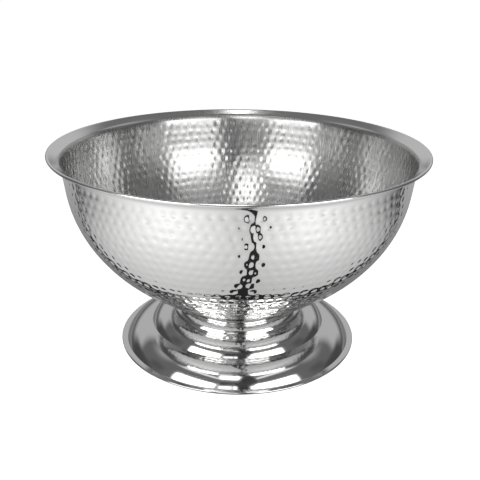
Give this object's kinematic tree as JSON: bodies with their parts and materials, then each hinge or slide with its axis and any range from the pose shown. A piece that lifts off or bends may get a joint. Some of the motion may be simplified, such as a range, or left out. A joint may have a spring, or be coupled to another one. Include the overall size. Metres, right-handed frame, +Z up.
{
  "type": "punch bowl",
  "caption": "Footed punch bowl: a round hammered steel bowl with a flared, beaded rim, bolted to a wide stepped pedestal foot.",
  "frame": {"origin": "centre of the foot's resting face, on the surface that the bowl stands on", "axes": "+Z up along the axis of the bowl and foot; +X along the wing nut's wings"},
  "size_m": [0.375, 0.375, 0.209],
  "materials": {
    "hammered_steel": "hammered, mirror bright outside, satin inside and on the flange",
    "polished_steel": "mirror polished with fine turning marks",
    "plain_steel": "mill finish",
    "black_rubber": "matt",
    "zinc_plated": "bright zinc plate"
  },
  "bodies": {
    "root": {"hammered_bowl": "hammered_steel", "pedestal_foot": "polished_steel", "mounting_disc": "plain_steel", "seat_gasket": "black_rubber", "threaded_stud": "zinc_plated", "load_washer": "zinc_plated", "lock_washer": "zinc_plated", "wing_nut": "zinc_plated"}
  },
  "joints": []
}
